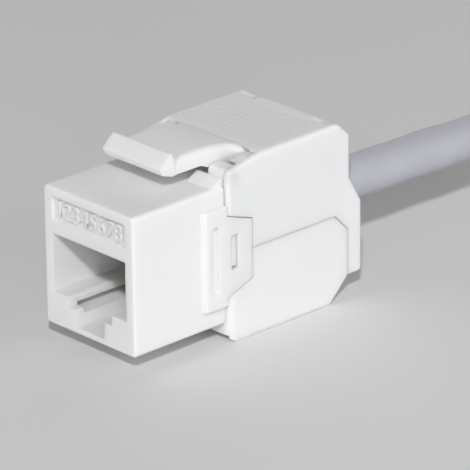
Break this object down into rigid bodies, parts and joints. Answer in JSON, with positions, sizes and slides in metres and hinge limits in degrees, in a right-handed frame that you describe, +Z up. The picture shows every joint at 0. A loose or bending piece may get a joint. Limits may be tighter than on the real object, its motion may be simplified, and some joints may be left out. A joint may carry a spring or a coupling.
{
  "type": "keystone jack",
  "caption": "Snap-in modular data jack with a panel latch, spring contacts, a hinged wire cap and a cable tail",
  "frame": {"origin": "on the resting surface under the lower body, midway along the jack's depth without its cable", "axes": "+Z up, towards the latch; -Y towards the port face; +X to the right seen from the port"},
  "size_m": [0.0156, 0.0702, 0.023],
  "materials": {
    "white_plastic": "fine matte white moulding",
    "black_plastic": "black moulding, matte",
    "white_insert": "white moulding, matte",
    "green_board": "green solder mask over glass laminate",
    "gold_contact": "gold plated spring bronze",
    "blade_bronze": "tin plated bronze",
    "nylon": "natural nylon",
    "cable_jacket": "grey blue cable jacket, satin",
    "wire_blue": "blue wire insulation",
    "wire_orange": "orange wire insulation",
    "wire_green": "green wire insulation",
    "wire_brown": "brown wire insulation",
    "wire_white": "white wire insulation"
  },
  "bodies": {
    "housing": {"front_housing": "white_plastic", "lower_body": "white_plastic", "contact_carrier": "black_plastic", "circuit_board": "green_board", "idc_block": "black_plastic", "wire_manager": "white_insert", "cable_tie": "nylon", "cable": "cable_jacket", "contact_lead_1": "gold_contact", "contact_lead_2": "gold_contact", "contact_lead_3": "gold_contact", "contact_lead_4": "gold_contact", "contact_lead_5": "gold_contact", "contact_lead_6": "gold_contact", "contact_lead_7": "gold_contact", "contact_lead_8": "gold_contact", "idc_blade_1": "blade_bronze", "idc_blade_2": "blade_bronze", "idc_blade_3": "blade_bronze", "idc_blade_4": "blade_bronze", "idc_blade_5": "blade_bronze", "idc_blade_6": "blade_bronze", "idc_blade_7": "blade_bronze", "idc_blade_8": "blade_bronze", "conductor_1": "wire_blue", "conductor_2": "wire_orange", "conductor_3": "wire_green", "conductor_4": "wire_brown", "conductor_5": "wire_white", "conductor_6": "wire_white", "conductor_7": "wire_white", "conductor_8": "wire_white"},
    "cap": {"top_cap": "white_plastic"},
    "latch": {"panel_latch": "white_plastic"},
    "contacts": {"contact_spring_1": "gold_contact", "contact_spring_2": "gold_contact", "contact_spring_3": "gold_contact", "contact_spring_4": "gold_contact", "contact_spring_5": "gold_contact", "contact_spring_6": "gold_contact", "contact_spring_7": "gold_contact", "contact_spring_8": "gold_contact"}
  },
  "joints": [
    {"name": "cap_hinge", "type": "hinge", "parent": "housing", "child": "cap", "pos_m": [0, -0.00235, 0.0193], "axis": [1, 0, 0], "range_deg": [0, 75]},
    {"name": "latch_flex", "type": "hinge", "parent": "housing", "child": "latch", "pos_m": [0, 0.00025, 0.0203], "axis": [1, 0, 0], "range_deg": [0, 8], "stiffness_Nm_per_rad": 0.3},
    {"name": "contact_flex", "type": "hinge", "parent": "housing", "child": "contacts", "pos_m": [0, -0.01265, 0.01335], "axis": [1, 0, 0], "range_deg": [0, 10], "stiffness_Nm_per_rad": 0.05}
  ]
}
